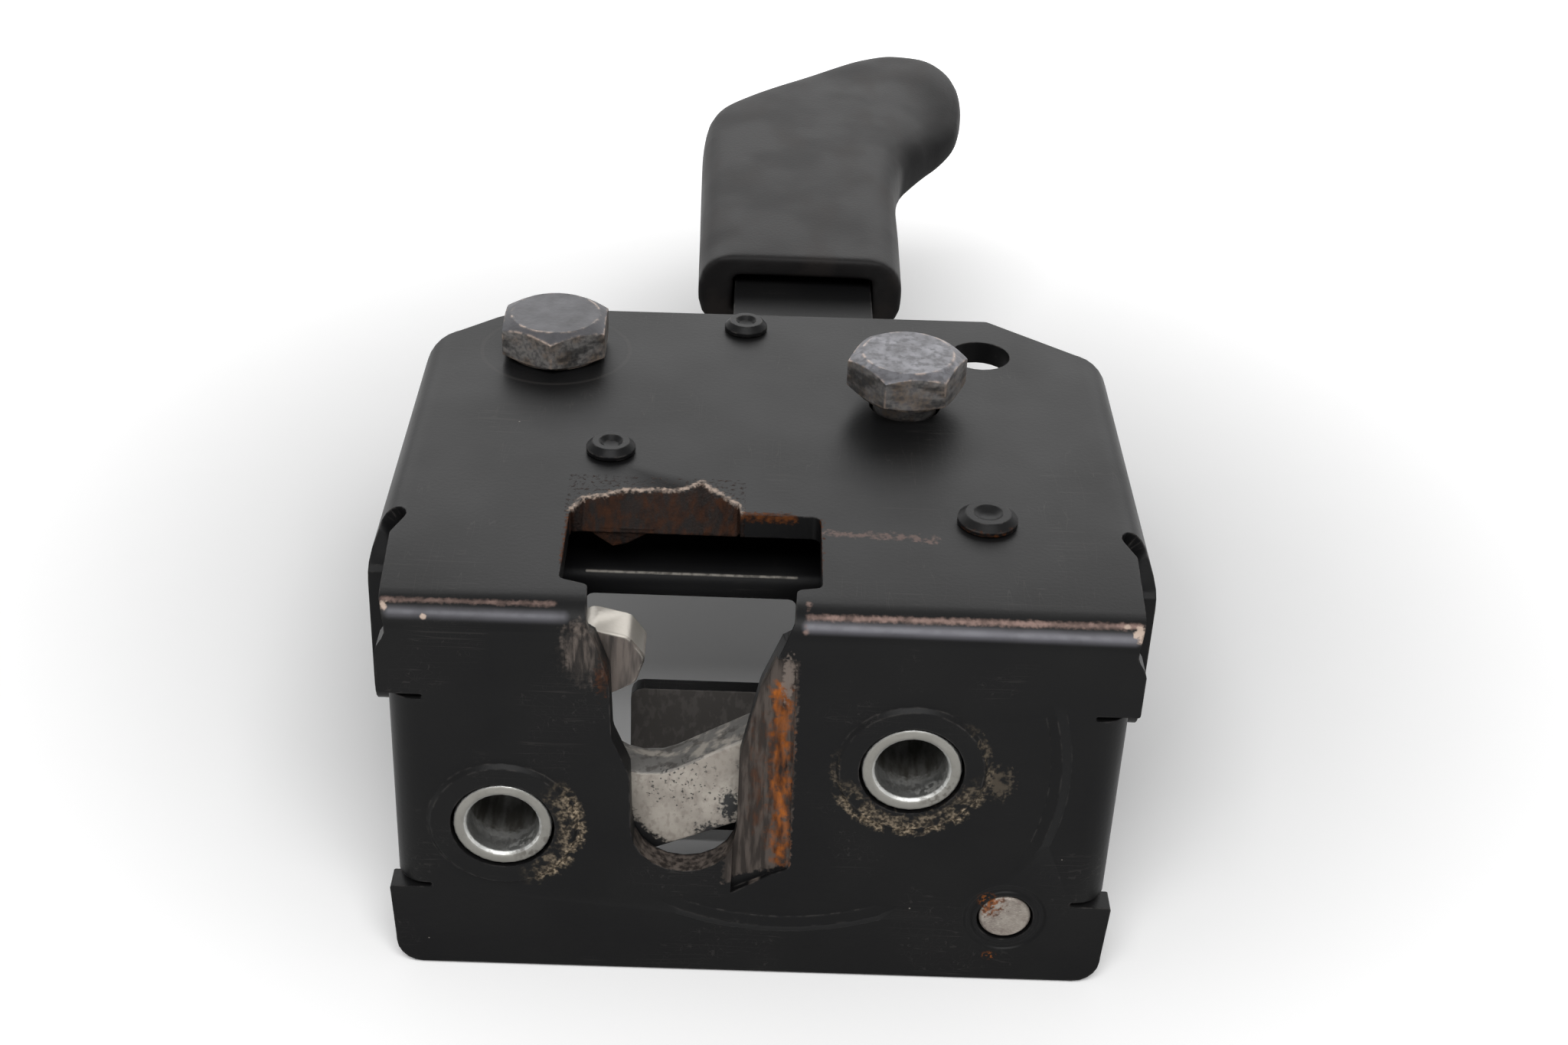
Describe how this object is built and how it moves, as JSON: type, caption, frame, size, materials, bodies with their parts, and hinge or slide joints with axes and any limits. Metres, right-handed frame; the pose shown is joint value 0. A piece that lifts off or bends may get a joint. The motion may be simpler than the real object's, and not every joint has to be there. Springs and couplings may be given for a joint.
{
  "type": "door latch",
  "caption": "Claw door latch in a folded steel housing, with a sprung claw and pawl, hollow pivot bushes for fixing screws, and a release lever with a boot-shaped grip.",
  "frame": {"origin": "on the top plate's outer face, midway across, 40 mm behind the front plate's outer face", "axes": "+Z out of the top plate, -Y out of the front plate, +X to the right as seen from the front"},
  "size_m": [0.0886, 0.1781, 0.0573],
  "materials": {
    "black_coated_steel": "satin black coat over folded steel, worn at its edges",
    "bare_steel": "stamped steel worn bright where the striker rubs",
    "zinc_steel": "bright zinc plate",
    "dull_zinc_steel": "dull grey zinc plate",
    "spring_steel": "oiled spring wire",
    "black_plastic": "satin black moulding with soft dents"
  },
  "bodies": {
    "frame": {"housing": "black_coated_steel", "carrier_bracket": "black_coated_steel", "claw_bush": "zinc_steel", "claw_spacer": "dull_zinc_steel", "claw_spring": "spring_steel", "pawl_bush": "zinc_steel", "pawl_spacer": "dull_zinc_steel", "pawl_spring": "spring_steel", "stop_stud": "dull_zinc_steel", "transfer_rivet": "dull_zinc_steel", "transfer_washer": "zinc_steel", "lever_rivet": "dull_zinc_steel", "lever_washer": "zinc_steel", "spring_rivet": "dull_zinc_steel", "lever_spring": "spring_steel", "bolt_left": "dull_zinc_steel", "bolt_right": "dull_zinc_steel", "weld_nut_left": "dull_zinc_steel", "weld_nut_right": "dull_zinc_steel"},
    "claw": {"claw": "bare_steel"},
    "pawl": {"pawl": "dull_zinc_steel"},
    "release_lever": {"release_lever": "black_coated_steel", "grip_sleeve": "black_plastic"},
    "transfer_lever": {"transfer_lever": "dull_zinc_steel"}
  },
  "joints": [
    {"name": "claw_pivot", "type": "hinge", "parent": "frame", "child": "claw", "pos_m": [-0.02846, -0.0341, -0.029], "axis": [0, 1, 0], "range_deg": [0, 35], "stiffness_Nm_per_rad": 0.02, "springref_deg": -34.38},
    {"name": "lever_pivot", "type": "hinge", "parent": "frame", "child": "release_lever", "pos_m": [-0.003, 0.0283, -0.0061], "axis": [0, 0, 1], "range_deg": [0, 5], "stiffness_Nm_per_rad": 0.3, "springref_deg": -8.59},
    {"name": "transfer_pivot", "type": "hinge", "parent": "frame", "child": "transfer_lever", "pos_m": [0.0255, -0.0186, -0.0061], "axis": [0, 0, 1], "range_deg": [-14.25, 0]},
    {"name": "pawl_pivot", "type": "hinge", "parent": "frame", "child": "pawl", "pos_m": [0.01716, -0.0341, -0.01936], "axis": [0, 1, 0], "range_deg": [-20.3, 0]}
  ],
  "couplings": [
    {"joint": "transfer_pivot", "follows": "lever_pivot", "ratio": -2.85},
    {"joint": "pawl_pivot", "follows": "lever_pivot", "ratio": -4.06}
  ]
}
